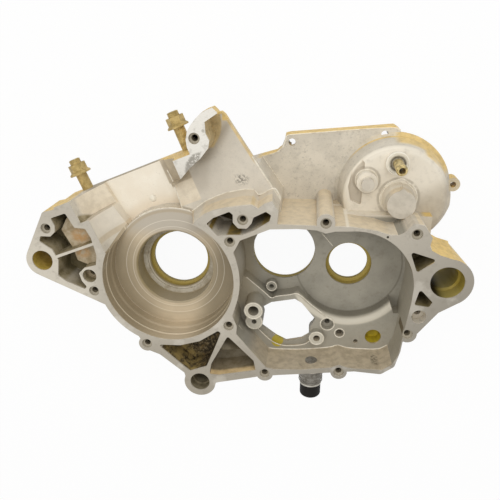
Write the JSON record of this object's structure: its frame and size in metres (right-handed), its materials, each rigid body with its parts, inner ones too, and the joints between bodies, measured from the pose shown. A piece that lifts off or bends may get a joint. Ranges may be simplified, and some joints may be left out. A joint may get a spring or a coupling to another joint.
{
  "type": "crankcase half",
  "caption": "Right half of a small two-stroke engine crankcase with crank chamber, gearbox cavity, cylinder seat with studs, intake port and a drum shaped bulge.",
  "frame": {"origin": "crankshaft axis at mid depth of the main bearing bore, 42 mm below the split face", "axes": "+Z out of the split face along the crankshaft, +X rearwards to the swingarm pivot, +Y up towards the cylinder"},
  "size_m": [0.3933, 0.2719, 0.095],
  "materials": {
    "cast_case": "machined split face, cast skin stained by use",
    "zinc_steel": "yellow zinc plated, dulled",
    "brass": "dulled brass",
    "grey_steel": "plain steel",
    "fitting_metal": "plated, satin",
    "pale_washer": "soft aluminium washer",
    "black_cap": "black moulded cap"
  },
  "bodies": {
    "root": {"crankcase_casting": "cast_case", "stud_front": "zinc_steel", "stud_rear": "zinc_steel", "nut_front": "zinc_steel", "nut_rear": "zinc_steel", "vent_nipple": "brass", "nipple_seat_ring": "grey_steel", "fitting_body": "fitting_metal", "fitting_ring": "pale_washer", "fitting_cap": "black_cap"}
  },
  "joints": []
}
